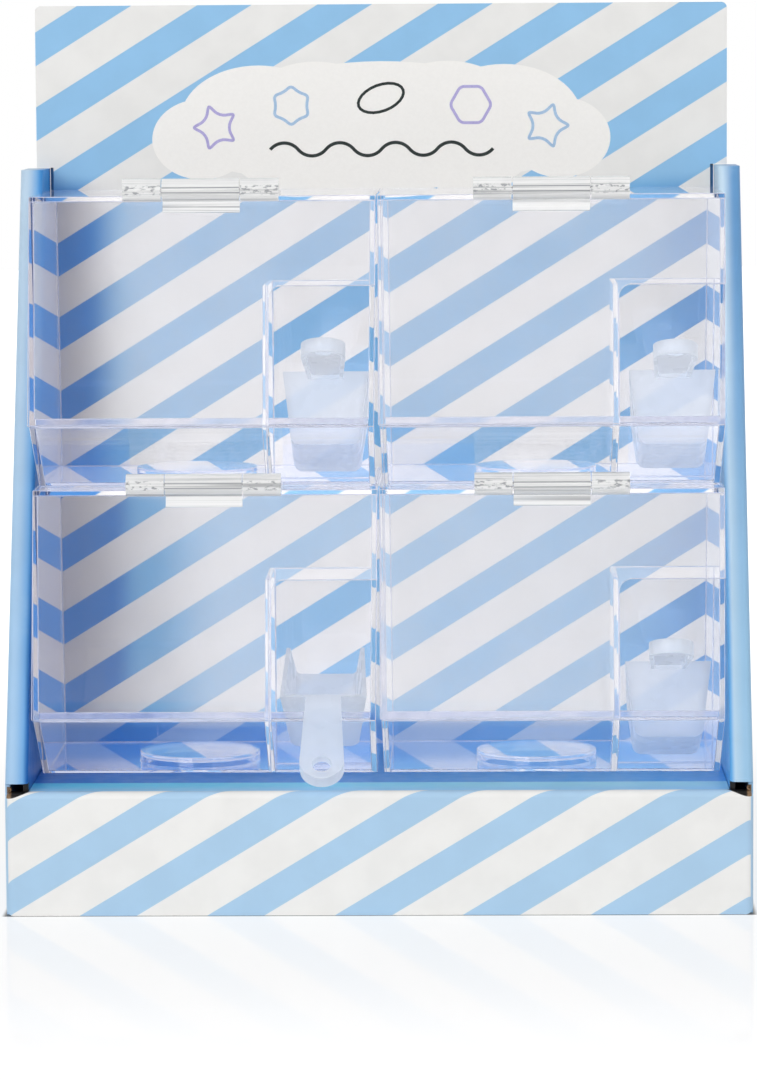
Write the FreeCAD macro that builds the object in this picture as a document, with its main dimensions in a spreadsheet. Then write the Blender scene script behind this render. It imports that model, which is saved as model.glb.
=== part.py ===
import FreeCAD, Part
import Sketcher
import math
import os

# Card display case that carries four clear lidded bins, two over two, each with a scoop.
# Frame: X to the right, Y to the back, Z up, origin at the centre of the case's underside.
# In the sizes below, "depth" places are measured back from the case's front face.

SIZES = {
    # Card case
    "case_width": 300.0,
    "case_depth": 140.0,
    "case_height": 365.0,
    "card_thickness": 2.0,
    "lip_height": 50.0,
    "lip_edge_radius": 2.8,
    "lip_foot_radius": 3.2,
    "case_corner_radius": 3.0,
    "side_wall_thickness": 9.2,
    "side_wall_height": 296.6,
    "side_wall_top_depth": 104.0,
    "side_wall_foot_depth": 1.4,
    "side_wall_edge_radius": 2.6,
    "corner_slot_height": 3.3,
    "header_width": 292.3,
    "header_gap": 0.3,
    "header_corner_radius": 2.5,
    "board_side_gap": 0.3,
    "board_rebate": 1.4,
    "riser_gap": 0.3,
    # Bins
    "bin_side_gap": 0.7,
    "bin_middle_gap": 0.6,
    "bin_back_gap": 0.4,
    "stack_gap": 0.3,
    "bin_height": 118.4,
    "bin_wall": 2.3,
    "bin_taper": 1.07,
    "floor_front_depth": 50.6,
    "rim_foot_height": 26.5,
    "rim_height": 30.0,
    "boss_radius": 25.0,
    "boss_rise": 4.0,
    "boss_left_place": 64.0,
    "boss_depth_place": 84.0,
    "pocket_width": 41.0,
    "pocket_depth": 51.8,
    "partition_thickness": 2.2,
    "partition_height": 82.5,
    # Lids
    "ledge_depth": 11.3,
    "ledge_height": 27.3,
    "lid_top_depth": 29.7,
    "lid_top_height": 116.7,
    "lid_thickness": 2.0,
    "lid_gap": 0.3,
    "lid_side_inset": 0.2,
    "notch_width": 42.9,
    "notch_corner_radius": 5.0,
    # Hinges
    "hinge_width": 62.5,
    "hinge_middle_width": 31.0,
    "knuckle_gap": 0.4,
    "barrel_radius": 4.6,
    "hinge_forward": 7.0,
    "hinge_rise": 2.6,
    "leaf_thickness": 2.0,
    "top_leaf_depth": 10.0,
    "lid_leaf_drop": 5.1,
    "pin_radius": 1.0,
    "pin_clearance": 0.05,
    "pin_end_inset": 0.6,
    # Scoops
    "scoop_rim_width": 35.0,
    "scoop_floor_width": 27.0,
    "scoop_height": 30.0,
    "scoop_mouth_height": 18.5,
    "scoop_length": 35.0,
    "scoop_wall": 1.6,
    "scoop_corner_radius": 4.0,
    "handle_length": 41.5,
    "handle_root_width": 14.0,
    "handle_end_width": 17.8,
    "handle_root_height": 3.2,
    "handle_end_height": 5.8,
    "handle_plate": 1.8,
    "handle_skirt": 1.5,
    "hang_hole_radius": 3.85,
    "hang_hole_inset": 7.2,
    "hang_collar_wall": 1.1,
    "hang_collar_depth": 3.6,
    # Scoop places in their pockets: the handle's lean in degrees, its root's rise over the rim
    "upper_left_lean_degrees": 22.8,
    "upper_right_lean_degrees": 21.0,
    "lower_right_lean_degrees": 20.0,
    "lower_left_lean_degrees": -43.5,
    "upper_left_shift": 2.0,
    "upper_right_shift": 1.8,
    "lower_right_shift": 0.1,
    "lower_left_shift": 0.8,
    "rest_rise": 17.0,
    "rest_gap": 0.3,
    "hung_rise": 6.2,
    "hung_setback": 0.4,
    # One overrun for all cuts
    "cut_overrun": 1.0,
}

doc = FreeCAD.newDocument("sweets_display")
sheet = doc.addObject("Spreadsheet::Sheet", "Sizes")
for row, (alias, number) in enumerate(SIZES.items(), start=1):
    sheet.set(f"A{row}", alias)
    sheet.set(f"B{row}", str(number))
    sheet.setAlias(f"B{row}", alias)
doc.recompute()


def size(text):
    """Expression text with every size name written as a cell of the sheet."""
    words = []
    word = ""
    for letter in text + " ":
        if letter.isalnum() or letter == "_":
            word += letter
            continue
        words.append(f"Sizes.{word}" if word in SIZES else word)
        words.append(letter)
        word = ""
    return "".join(words).strip()


def number(text):
    """Value of an expression, in millimetres or degrees."""
    result = sheet.evalExpression(size(text))
    return float(getattr(result, "Value", result))


def bind(item, **expressions):
    """Bind properties of an object to expressions; a double underscore stands for a dot."""
    for name, text in expressions.items():
        item.setExpression(name.replace("__", "."), size(text))
    return item


def place(item, x="0", y="0", z="0", turn=None, axis="x"):
    """Bind an object's placement: a point, and a turn in degrees about one axis."""
    if turn is not None:
        item.Placement = FreeCAD.Placement(
            FreeCAD.Vector(0, 0, 0),
            FreeCAD.Rotation(FreeCAD.Vector(axis == "x", axis == "y", axis == "z"), 1),
        )
        bind(item, Placement__Rotation__Angle=turn)
    return bind(item, Placement__Base__x=x, Placement__Base__y=y, Placement__Base__z=z)


def origin_plane(body, role):
    return next(item for item in body.Origin.OriginFeatures if item.Role == role)


def outline(body, name, role, points):
    """Closed sketch through points, each coordinate bound to its expression."""
    sketch = body.newObject("Sketcher::SketchObject", name)
    sketch.AttachmentSupport = [(origin_plane(body, role), "")]
    sketch.MapMode = "FlatFace"
    corners = [FreeCAD.Vector(number(across), number(up), 0) for across, up in points]
    for start, end in zip(corners, corners[1:] + corners[:1]):
        sketch.addGeometry(Part.LineSegment(start, end), False)
    count = len(points)
    for index in range(count):
        sketch.addConstraint(Sketcher.Constraint("Coincident", index, 2, (index + 1) % count, 1))
    for index, pair in enumerate(points):
        for kind, text in zip(("DistanceX", "DistanceY"), pair):
            if text == "0":
                axis = -2 if kind == "DistanceX" else -1
                sketch.addConstraint(Sketcher.Constraint("PointOnObject", index, 1, axis))
                continue
            rule = sketch.addConstraint(
                Sketcher.Constraint(kind, -1, 1, index, 1, number(text))
            )
            sketch.setExpression(f"Constraints[{rule}]", size(text))
    return sketch


def profile(name, role, points, length, both_sides=False, reversed_way=False):
    """Body made by padding a closed outline from one of its own origin planes."""
    body = doc.addObject("PartDesign::Body", name)
    pad = body.newObject("PartDesign::Pad", name + "_pad")
    pad.Profile = outline(body, name + "_outline", role, points)
    if both_sides:
        pad.SideType = "Symmetric"
    pad.Reversed = reversed_way
    bind(pad, Length=length)
    body.Tip = pad
    doc.recompute()
    return body


def round_edges(body, name, radius, chosen):
    """Fillet the edges of a body's tip that a test picks."""
    tip = body.Tip
    names = [f"Edge{index}" for index, edge in enumerate(tip.Shape.Edges, 1) if chosen(edge)]
    fillet = body.newObject("PartDesign::Fillet", name)
    fillet.Base = (tip, names)
    bind(fillet, Radius=radius)
    body.Tip = fillet
    doc.recompute()
    return body


def box(name, length, width, height, x="0", y="0", z="0"):
    item = bind(doc.addObject("Part::Box", name), Length=length, Width=width, Height=height)
    return place(item, x, y, z)


def cylinder_across(name, radius, length, x, y, z):
    """Cylinder along X from its left end."""
    item = bind(doc.addObject("Part::Cylinder", name), Radius=radius, Height=length)
    return place(item, x, y, z, turn="90", axis="y")


def cylinder_up(name, radius, length, x, y, z):
    item = bind(doc.addObject("Part::Cylinder", name), Radius=radius, Height=length)
    return place(item, x, y, z)


def cut(name, base, tool):
    item = doc.addObject("Part::Cut", name)
    item.Base = base
    item.Tool = tool
    return item


def common(name, base, tool):
    item = doc.addObject("Part::Common", name)
    item.Base = base
    item.Tool = tool
    return item


def fuse(name, pieces):
    item = doc.addObject("Part::MultiFuse", name)
    item.Shapes = pieces
    item.Refine = True
    return item


nodes = []


def node(item, label):
    """Register a finished sub-part under the name that its file takes."""
    item.Label = label
    nodes.append(item)
    return item


def along(edge, direction):
    start, end = (vertex.Point for vertex in (edge.Vertexes[0], edge.Vertexes[-1]))
    run = end - start
    return run.Length > 0 and abs(run.normalize().dot(direction)) > math.cos(math.radians(1))


ACROSS = FreeCAD.Vector(1, 0, 0)
BACKWARD = FreeCAD.Vector(0, 1, 0)
UPWARD = FreeCAD.Vector(0, 0, 1)
HALF_TURN_DEGREES = 180

# Places that several pieces share
FRONT = "-case_depth / 2"
BOARD_THICKNESS = "2 * card_thickness"
LIP_THICKNESS = "2 * card_thickness"
INNER_HALF = "(case_width / 2 - side_wall_thickness)"
BIN_WIDTH = f"({INNER_HALF} - bin_side_gap - bin_middle_gap / 2)"
COLUMN = f"({BIN_WIDTH} + bin_middle_gap) / 2"
BIN_BACK = f"(case_depth - {BOARD_THICKNESS} - bin_back_gap)"
LID_RUN = "(lid_top_depth - ledge_depth)"
LID_CLIMB = "(lid_top_height - ledge_height)"
LID_LENGTH = f"hypot({LID_RUN}; {LID_CLIMB})"
LID_LEAN = f"atan({LID_RUN} / {LID_CLIMB})"
LID_LAYER = f"(lid_thickness + lid_gap) * {LID_LENGTH} / {LID_CLIMB}"


def mouth_depth(height):
    """Depth of the bin's mouth plane, parallel to the lid, at a height in the bin."""
    return f"(ledge_depth + ({height} - ledge_height) * {LID_RUN} / {LID_CLIMB} + {LID_LAYER})"


PANEL_EDGE = mouth_depth("bin_height")
AXIS_DEPTH = f"({PANEL_EDGE} - hinge_forward)"
AXIS_HEIGHT = "(bin_height + hinge_rise)"


def make_case_floor():
    item = box("case_floor", f"2 * {INNER_HALF}", f"case_depth - {LIP_THICKNESS} - {BOARD_THICKNESS}",
               "card_thickness", f"-{INNER_HALF}", f"{FRONT} + {LIP_THICKNESS}")
    return node(item, "case_floor")


def make_front_lip():
    """Folded front band with a rolled top edge and rounded lower corners."""
    band = profile("lip_band", "YZ_Plane", [
        ("0", "0"),
        (LIP_THICKNESS, "0"),
        (LIP_THICKNESS, "lip_height"),
        ("0", "lip_height"),
    ], "case_width", both_sides=True)
    half = number("case_width / 2")
    top = number("lip_height")
    round_edges(band, "lip_corners", "case_corner_radius",
                lambda edge: along(edge, UPWARD) and edge.CenterOfMass.y < number(LIP_THICKNESS) / 2)
    round_edges(band, "lip_roll", "lip_edge_radius",
                lambda edge: along(edge, ACROSS) and abs(edge.CenterOfMass.z - top) < half / top / 100
                and edge.CenterOfMass.y < number(LIP_THICKNESS) / 2)
    face = profile("lip_face", "XZ_Plane", [
        ("-case_width / 2", "0"),
        ("case_width / 2", "0"),
        ("case_width / 2", "lip_height"),
        ("-case_width / 2", "lip_height"),
    ], LIP_THICKNESS, reversed_way=True)
    round_edges(face, "lip_feet", "lip_foot_radius",
                lambda edge: along(edge, BACKWARD) and edge.CenterOfMass.z < top / 2)
    lip = common("front_lip", band, face)
    place(lip, y=FRONT)
    return node(lip, "front_lip")


SLOPE_RUN = "(side_wall_top_depth - side_wall_foot_depth)"
SLOT_TOP = "(lip_height + corner_slot_height)"
SLOPE_CLIMB = f"(side_wall_height - {SLOT_TOP})"
SLOPE_SKIN = f"card_thickness * hypot({SLOPE_RUN}; {SLOPE_CLIMB}) / {SLOPE_CLIMB}"
SKIN_RUN = f"card_thickness * {SLOPE_RUN} / {SLOPE_CLIMB}"


def make_side_wall(side, sign):
    """Rolled-over side wall: two skins joined along the sloping front, top and back edges."""
    shell = profile(f"{side}_shell", "YZ_Plane", [
        (LIP_THICKNESS, "0"),
        (LIP_THICKNESS, SLOT_TOP),
        ("side_wall_foot_depth", SLOT_TOP),
        ("side_wall_top_depth", "side_wall_height"),
        ("case_depth", "side_wall_height"),
        ("case_depth", "0"),
    ], "side_wall_thickness")
    slope = FreeCAD.Vector(0, number(SLOPE_RUN), number(SLOPE_CLIMB)).normalize()
    round_edges(shell, f"{side}_roll", "side_wall_edge_radius", lambda edge: along(edge, slope))
    hollow = profile(f"{side}_hollow", "YZ_Plane", [
        (f"side_wall_foot_depth + {SLOPE_SKIN}", "-cut_overrun"),
        (f"side_wall_foot_depth + {SLOPE_SKIN}", SLOT_TOP),
        (f"side_wall_top_depth + {SLOPE_SKIN} - {SKIN_RUN}", "side_wall_height - card_thickness"),
        ("case_depth - card_thickness", "side_wall_height - card_thickness"),
        ("case_depth - card_thickness", "-cut_overrun"),
    ], "side_wall_thickness - 2 * card_thickness")
    place(hollow, x="card_thickness")
    wall = cut(f"{side}_side_wall", shell, hollow)
    place(wall, x=INNER_HALF if sign > 0 else "-case_width / 2", y=FRONT)
    return node(wall, f"{side}_side_wall")


def make_back_board():
    """Doubled back panel, rebated beside the side walls and wider above them, as the header."""
    inner = f"({INNER_HALF} - board_side_gap)"
    shoulder = "(side_wall_height + header_gap)"
    body = profile("board_panel", "XZ_Plane", [
        (f"-{inner}", "0"),
        (inner, "0"),
        (inner, shoulder),
        ("header_width / 2", shoulder),
        ("header_width / 2", "case_height"),
        ("-header_width / 2", "case_height"),
        ("-header_width / 2", shoulder),
        (f"-{inner}", shoulder),
    ], BOARD_THICKNESS)
    top = number("case_height")
    round_edges(body, "header_corners", "header_corner_radius",
                lambda edge: along(edge, BACKWARD) and edge.CenterOfMass.z > top * 0.99)
    rebates = [box(f"board_rebate_{side}", "board_rebate + cut_overrun", "card_thickness + cut_overrun",
                   f"{shoulder} + cut_overrun", x, f"-{BOARD_THICKNESS} - cut_overrun", "-cut_overrun")
               for side, x in (("left", f"-{inner} - cut_overrun"), ("right", f"{inner} - board_rebate"))]
    board = cut("back_board", body, fuse("board_rebates", rebates))
    place(board, y=f"{FRONT} + case_depth")
    return node(board, "back_board")


def make_riser():
    """Folded card insert: a top panel with a front and a rear leg, open at its ends."""
    front = f"({LIP_THICKNESS})"
    back = f"(case_depth - {BOARD_THICKNESS})"
    body = profile("riser", "YZ_Plane", [
        (front, "card_thickness"),
        (f"{front} + card_thickness", "card_thickness"),
        (f"{front} + card_thickness", "lip_height - card_thickness"),
        (f"{back} - card_thickness", "lip_height - card_thickness"),
        (f"{back} - card_thickness", "card_thickness"),
        (back, "card_thickness"),
        (back, "lip_height"),
        (front, "lip_height"),
    ], f"2 * ({INNER_HALF} - riser_gap)", both_sides=True)
    place(body, y=FRONT)
    return node(body, "riser")


def tapered_block(name, inset, low, high):
    """Block whose sides lean in by the taper towards the bin's underside."""
    block = doc.addObject("Part::Wedge", name)
    top_half = f"({BIN_WIDTH} / 2 - {inset})"
    low_half = f"({top_half} - bin_taper)"
    bind(block, Xmin=f"-{low_half}", Xmax=low_half, X2min=f"-{top_half}", X2max=top_half,
         Ymin=low, Ymax=high, Zmin="-case_depth", Zmax="0", Z2min="-case_depth", Z2max="0")
    return place(block, turn="90")


FRONT_RUN = f"(floor_front_depth - {mouth_depth('rim_foot_height')})"
FRONT_SKIN = f"bin_wall * hypot({FRONT_RUN}; rim_foot_height) / rim_foot_height"
RIM_BACK = f"({mouth_depth('rim_height')} + bin_wall)"
INNER_FRONT = f"(floor_front_depth + {FRONT_SKIN})"
FRONT_SLOPE = f"({FRONT_RUN} / rim_foot_height)"
PARTITION_RIGHT = f"({BIN_WIDTH} / 2 - bin_wall - pocket_width)"
POCKET_BACK = f"({RIM_BACK} + pocket_depth)"
POCKET_CENTRE = f"({PARTITION_RIGHT} + pocket_width / 2)"


def make_bin(corner, x, z):
    """Clear body: sloping front with a rim, top panel, scoop pocket and a raised floor boss."""
    outer_profile = profile(f"bin_{corner}_side", "YZ_Plane", [
        ("floor_front_depth", "0"),
        (mouth_depth("rim_foot_height"), "rim_foot_height"),
        (PANEL_EDGE, "bin_height"),
        (BIN_BACK, "bin_height"),
        (BIN_BACK, "0"),
    ], BIN_WIDTH, both_sides=True)
    outer = common(f"bin_{corner}_outer", outer_profile,
                   tapered_block(f"bin_{corner}_block", "0", "0", "bin_height"))
    hollow_points = [
        (f"{INNER_FRONT} - {FRONT_SLOPE} * bin_wall", "bin_wall"),
        (RIM_BACK, f"({INNER_FRONT} - {RIM_BACK}) / {FRONT_SLOPE}"),
        (RIM_BACK, "rim_height"),
        ("ledge_depth - lid_top_depth", "rim_height"),
        ("ledge_depth - lid_top_depth", "bin_height - bin_wall"),
        (f"{BIN_BACK} - bin_wall", "bin_height - bin_wall"),
        (f"{BIN_BACK} - bin_wall", "bin_wall"),
    ]
    hollow = common(f"bin_{corner}_inner",
                    profile(f"bin_{corner}_hollow", "YZ_Plane", hollow_points, BIN_WIDTH, both_sides=True),
                    tapered_block(f"bin_{corner}_hollow_block", "bin_wall", "0", "bin_height"))
    open_body = cut(f"bin_{corner}_open", outer, hollow)
    partition_profile = profile(f"bin_{corner}_partition", "YZ_Plane", [
        ("floor_front_depth", "0"),
        (mouth_depth("rim_foot_height"), "rim_foot_height"),
        (mouth_depth("partition_height"), "partition_height"),
        (f"{POCKET_BACK} + partition_thickness", "partition_height"),
        (f"{POCKET_BACK} + partition_thickness", "0"),
    ], "partition_thickness", reversed_way=True)
    place(partition_profile, x=PARTITION_RIGHT)
    pocket_back = box(f"bin_{corner}_pocket_back",
                      "pocket_width + partition_thickness", "partition_thickness", "partition_height",
                      f"{PARTITION_RIGHT} - partition_thickness", POCKET_BACK, "0")
    clipped = common(f"bin_{corner}_clipped_back", pocket_back,
                     tapered_block(f"bin_{corner}_clip_block", "0", "0", "bin_height"))
    boss_place = "boss_left_place - " + BIN_WIDTH + " / 2"
    boss = cylinder_up(f"bin_{corner}_boss", "boss_radius", "bin_wall + boss_rise",
                       boss_place, "boss_depth_place", "0")
    whole = fuse(f"bin_{corner}_whole", [open_body, partition_profile, clipped, boss])
    dimple = cylinder_up(f"bin_{corner}_dimple", "boss_radius - bin_wall", "boss_rise + cut_overrun",
                         boss_place, "boss_depth_place", "-cut_overrun")
    body = cut(f"bin_{corner}", whole, dimple)
    place(body, x, FRONT, z)
    return node(body, f"bin_{corner}")


def make_lid(corner, x, z):
    """Clear lid panel, cut out at its lower right corner over the scoop pocket."""
    half = f"({BIN_WIDTH} / 2 - lid_side_inset)"
    notch_left = f"({BIN_WIDTH} / 2 - notch_width)"
    notch_top = f"(partition_height - ledge_height) * {LID_LENGTH} / {LID_CLIMB}"
    body = profile(f"lid_{corner}", "XZ_Plane", [
        (f"-{half}", "0"),
        (notch_left, "0"),
        (notch_left, notch_top),
        (half, notch_top),
        (half, LID_LENGTH),
        (f"-{half}", LID_LENGTH),
    ], "lid_thickness", reversed_way=True)
    corner_place = FreeCAD.Vector(number(notch_left), 0, number(notch_top))
    reach = number("notch_corner_radius")
    round_edges(body, f"lid_{corner}_notch_round", "notch_corner_radius",
                lambda edge: along(edge, BACKWARD)
                and (edge.CenterOfMass - corner_place).cross(BACKWARD).Length < reach / 10)
    place(body, x, f"{FRONT} + ledge_depth", f"{z} + ledge_height", turn=f"-{LID_LEAN}")
    return node(body, f"lid_{corner}")


def make_top_leaf(corner, x, z):
    """Leaf on the top panel, with the hinge's two outer knuckles."""
    half = "hinge_width / 2"
    knuckle = "(hinge_width - hinge_middle_width) / 2 - knuckle_gap"
    plate = box(f"leaf_plate_{corner}", "hinge_width", "top_leaf_depth", "leaf_thickness",
                f"-{half}", PANEL_EDGE, "bin_height")
    pieces = [plate]
    for side, start in (("left", f"-{half}"), ("right", f"{half} - ({knuckle})")):
        pieces.append(cylinder_across(f"knuckle_{side}_{corner}", "barrel_radius", knuckle,
                                      start, AXIS_DEPTH, AXIS_HEIGHT))
        pieces.append(box(f"web_{side}_{corner}", knuckle, "hinge_forward", "leaf_thickness",
                          start, AXIS_DEPTH, "bin_height"))
    bore = cylinder_across(f"leaf_bore_{corner}", "pin_radius + pin_clearance",
                           "hinge_width + 2 * cut_overrun", f"-{half} - cut_overrun",
                           AXIS_DEPTH, AXIS_HEIGHT)
    leaf = cut(f"hinge_top_leaf_{corner}", fuse(f"leaf_whole_{corner}", pieces), bore)
    place(leaf, x, FRONT, z)
    return node(leaf, f"hinge_top_leaf_{corner}")


def make_lid_leaf(corner, x, z):
    """Leaf on the lid's face, with the hinge's middle knuckle."""
    half = "hinge_middle_width / 2"
    rise = f"(({AXIS_DEPTH} - lid_top_depth) * {LID_RUN} + ({AXIS_HEIGHT} - lid_top_height) * {LID_CLIMB})"
    rise = f"{rise} / {LID_LENGTH}"
    plate = bind(doc.addObject("Part::Box", f"lid_leaf_plate_{corner}"), Length="hinge_middle_width",
                 Width="leaf_thickness", Height=f"lid_leaf_drop + {rise}")
    lean_share = f"{LID_RUN} / {LID_LENGTH}"
    climb_share = f"{LID_CLIMB} / {LID_LENGTH}"
    place(plate, f"-{half}",
          f"lid_top_depth - lid_leaf_drop * {lean_share} - leaf_thickness * {climb_share}",
          f"lid_top_height - lid_leaf_drop * {climb_share} + leaf_thickness * {lean_share}",
          turn=f"-{LID_LEAN}")
    barrel = cylinder_across(f"middle_knuckle_{corner}", "barrel_radius", "hinge_middle_width",
                             f"-{half}", AXIS_DEPTH, AXIS_HEIGHT)
    bore = cylinder_across(f"middle_bore_{corner}", "pin_radius + pin_clearance",
                           "hinge_middle_width + 2 * cut_overrun", f"-{half} - cut_overrun",
                           AXIS_DEPTH, AXIS_HEIGHT)
    leaf = cut(f"hinge_lid_leaf_{corner}", fuse(f"lid_leaf_whole_{corner}", [plate, barrel]), bore)
    place(leaf, x, FRONT, z)
    return node(leaf, f"hinge_lid_leaf_{corner}")


def make_pin(corner, x, z):
    pin = bind(doc.addObject("Part::Cylinder", f"hinge_pin_{corner}"), Radius="pin_radius",
               Height="hinge_width - 2 * pin_end_inset")
    place(pin, f"{x} - hinge_width / 2 + pin_end_inset", f"{FRONT} + {AXIS_DEPTH}",
          f"{z} + {AXIS_HEIGHT}", turn="90", axis="y")
    return node(pin, f"hinge_pin_{corner}")


def rest_root(corner):
    """Root of a scoop that lies in its pocket, its wall's foot on the sloping front."""
    height = "(rim_height + rest_rise)"
    foot = f"({height} - scoop_height * cos({corner}_lean_degrees * 1deg))"
    seat = f"rest_gap * hypot({FRONT_RUN}; rim_foot_height) / rim_foot_height"
    reach = f"scoop_height * sin({corner}_lean_degrees * 1deg)"
    return f"({INNER_FRONT} - {FRONT_SLOPE} * {foot} + {seat} + {reach})", height


def hung_root():
    """Root of a scoop that hangs on the rim by its handle."""
    return f"({mouth_depth('rim_height')} + hung_setback)", "(rim_height + hung_rise)"


def make_scoop(corner, x, depth, height, lean):
    """Frosted scoop: its origin is the top of the wall where the handle starts."""
    trough = profile(f"scoop_{corner}_trough", "XZ_Plane", [
        ("-scoop_floor_width / 2", "-scoop_height"),
        ("scoop_floor_width / 2", "-scoop_height"),
        ("scoop_rim_width / 2", "0"),
        ("-scoop_rim_width / 2", "0"),
    ], "scoop_length", reversed_way=True)
    low = number("-scoop_height")
    near = number("scoop_wall")
    round_edges(trough, f"scoop_{corner}_keel", "scoop_corner_radius",
                lambda edge: along(edge, BACKWARD) and abs(edge.CenterOfMass.z - low) < near)
    side_lean = "(scoop_rim_width - scoop_floor_width) / 2 / scoop_height"
    skin = f"scoop_wall * hypot(1; {side_lean})"
    hollow = profile(f"scoop_{corner}_hollow", "XZ_Plane", [
        (f"-(scoop_floor_width / 2 + scoop_wall * {side_lean} - {skin})", "scoop_wall - scoop_height"),
        (f"scoop_floor_width / 2 + scoop_wall * {side_lean} - {skin}", "scoop_wall - scoop_height"),
        (f"scoop_rim_width / 2 + cut_overrun * {side_lean} - {skin}", "cut_overrun"),
        (f"-(scoop_rim_width / 2 + cut_overrun * {side_lean} - {skin})", "cut_overrun"),
    ], "scoop_length", reversed_way=True)
    round_edges(hollow, f"scoop_{corner}_hollow_keel", "scoop_corner_radius - scoop_wall",
                lambda edge: along(edge, BACKWARD) and edge.CenterOfMass.z < low / 2)
    place(hollow, y="scoop_wall")
    bowl = cut(f"scoop_{corner}_bowl", trough, hollow)
    brow = profile(f"scoop_{corner}_brow", "YZ_Plane", [
        ("0", "0"),
        ("scoop_length", "scoop_mouth_height - scoop_height"),
        ("scoop_length + cut_overrun", "scoop_mouth_height - scoop_height"),
        ("scoop_length + cut_overrun", "cut_overrun"),
        ("0", "cut_overrun"),
    ], "scoop_rim_width + 2 * cut_overrun", both_sides=True)
    scoop_body = cut(f"scoop_{corner}_cup", bowl, brow)

    end_centre = "(handle_length - handle_end_width / 2)"
    bar = doc.addObject("Part::Wedge", f"scoop_{corner}_bar")
    bind(bar, Ymin=f"-{end_centre}", Ymax="scoop_wall / 2",
         Xmin="-handle_end_width / 2", Xmax="handle_end_width / 2",
         Zmin="-handle_end_height", Zmax="0",
         X2min="-handle_root_width / 2", X2max="handle_root_width / 2",
         Z2min="-handle_root_height", Z2max="0")
    end = bind(doc.addObject("Part::Cylinder", f"scoop_{corner}_end"),
               Radius="handle_end_width / 2", Height="handle_end_height")
    end.Angle = HALF_TURN_DEGREES
    place(end, "0", f"-{end_centre}", "-handle_end_height", turn="180", axis="z")
    under_bar = doc.addObject("Part::Wedge", f"scoop_{corner}_under_bar")
    bind(under_bar, Ymin=f"-{end_centre}", Ymax="-handle_skirt / 2",
         Xmin="handle_skirt - handle_end_width / 2", Xmax="handle_end_width / 2 - handle_skirt",
         Zmin="-handle_end_height - cut_overrun", Zmax="-handle_plate",
         X2min="handle_skirt - handle_root_width / 2", X2max="handle_root_width / 2 - handle_skirt",
         Z2min="-handle_end_height - cut_overrun", Z2max="-handle_plate")
    under_end = cylinder_up(f"scoop_{corner}_under_end", "handle_end_width / 2 - handle_skirt",
                            "handle_end_height - handle_plate + cut_overrun",
                            "0", f"-{end_centre}", "-handle_end_height - cut_overrun")
    hole = cylinder_up(f"scoop_{corner}_hole", "hang_hole_radius", "hang_collar_depth + 2 * cut_overrun",
                       "0", "hang_hole_inset - handle_length", "-hang_collar_depth - cut_overrun")
    hollow_handle = cut(f"scoop_{corner}_channel", fuse(f"scoop_{corner}_bar_whole", [bar, end]),
                        fuse(f"scoop_{corner}_underside", [under_bar, under_end]))
    collar = cylinder_up(f"scoop_{corner}_collar", "hang_hole_radius + hang_collar_wall", "hang_collar_depth",
                         "0", "hang_hole_inset - handle_length", "-hang_collar_depth")
    handle = cut(f"scoop_{corner}_handle", fuse(f"scoop_{corner}_collared", [hollow_handle, collar]), hole)
    scoop = fuse(f"scoop_{corner}", [scoop_body, handle])
    place(scoop, x, f"{FRONT} + {depth}", height, turn=f"-({lean})")
    return node(scoop, f"scoop_{corner}")


make_case_floor()
make_front_lip()
make_side_wall("left", -1)
make_side_wall("right", 1)
make_back_board()
make_riser()

LOWER_BASE = "(lip_height + stack_gap)"
UPPER_BASE = f"({LOWER_BASE} + bin_height + stack_gap)"
for row_name, base in (("upper", UPPER_BASE), ("lower", LOWER_BASE)):
    for column_name, side in (("left", f"-{COLUMN}"), ("right", COLUMN)):
        corner_name = f"{row_name}_{column_name}"
        make_bin(corner_name, side, base)
        make_lid(corner_name, side, base)
        make_top_leaf(corner_name, side, base)
        make_lid_leaf(corner_name, side, base)
        make_pin(corner_name, side, base)
        root_depth, root_height = hung_root() if corner_name == "lower_left" else rest_root(corner_name)
        make_scoop(corner_name, f"{side} + {POCKET_CENTRE} + {corner_name}_shift",
                   root_depth, f"{base} + {root_height}", f"{corner_name}_lean_degrees")

doc.recompute()
for item in doc.Objects:
    if {"Invalid", "Error"} & set(item.State):
        raise RuntimeError(f"{item.Label} failed: {item.State}")
for item in nodes:
    if item.Shape.isNull() or not item.Shape.isValid():
        raise RuntimeError(f"{item.Label} has no valid shape")

os.makedirs("parts", exist_ok=True)
for item in nodes:
    item.Shape.exportStep(os.path.join("parts", f"{item.Label}.step"))
print(len(nodes), "sub-parts written")
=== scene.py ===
from math import pi, radians, tau

import bmesh
import bpy
from mathutils import Matrix, Vector


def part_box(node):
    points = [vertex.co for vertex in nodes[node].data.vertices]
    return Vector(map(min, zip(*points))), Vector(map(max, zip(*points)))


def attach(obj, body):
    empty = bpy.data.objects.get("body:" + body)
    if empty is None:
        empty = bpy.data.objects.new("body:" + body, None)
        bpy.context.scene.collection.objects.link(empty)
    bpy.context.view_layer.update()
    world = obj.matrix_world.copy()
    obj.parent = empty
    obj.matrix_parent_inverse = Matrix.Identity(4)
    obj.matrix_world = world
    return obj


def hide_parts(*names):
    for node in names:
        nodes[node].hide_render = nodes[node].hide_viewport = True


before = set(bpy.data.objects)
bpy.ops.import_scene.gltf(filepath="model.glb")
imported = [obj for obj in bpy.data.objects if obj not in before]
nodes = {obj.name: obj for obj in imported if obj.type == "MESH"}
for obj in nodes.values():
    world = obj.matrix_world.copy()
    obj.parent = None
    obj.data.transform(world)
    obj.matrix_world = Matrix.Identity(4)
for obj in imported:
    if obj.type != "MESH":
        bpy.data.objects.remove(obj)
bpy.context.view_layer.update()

# Counter display of printed card with four clear lidded bins, two over two, and their scoops.
# Metres: X to the right, Y to the back, Z up, as in the frame.

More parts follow.
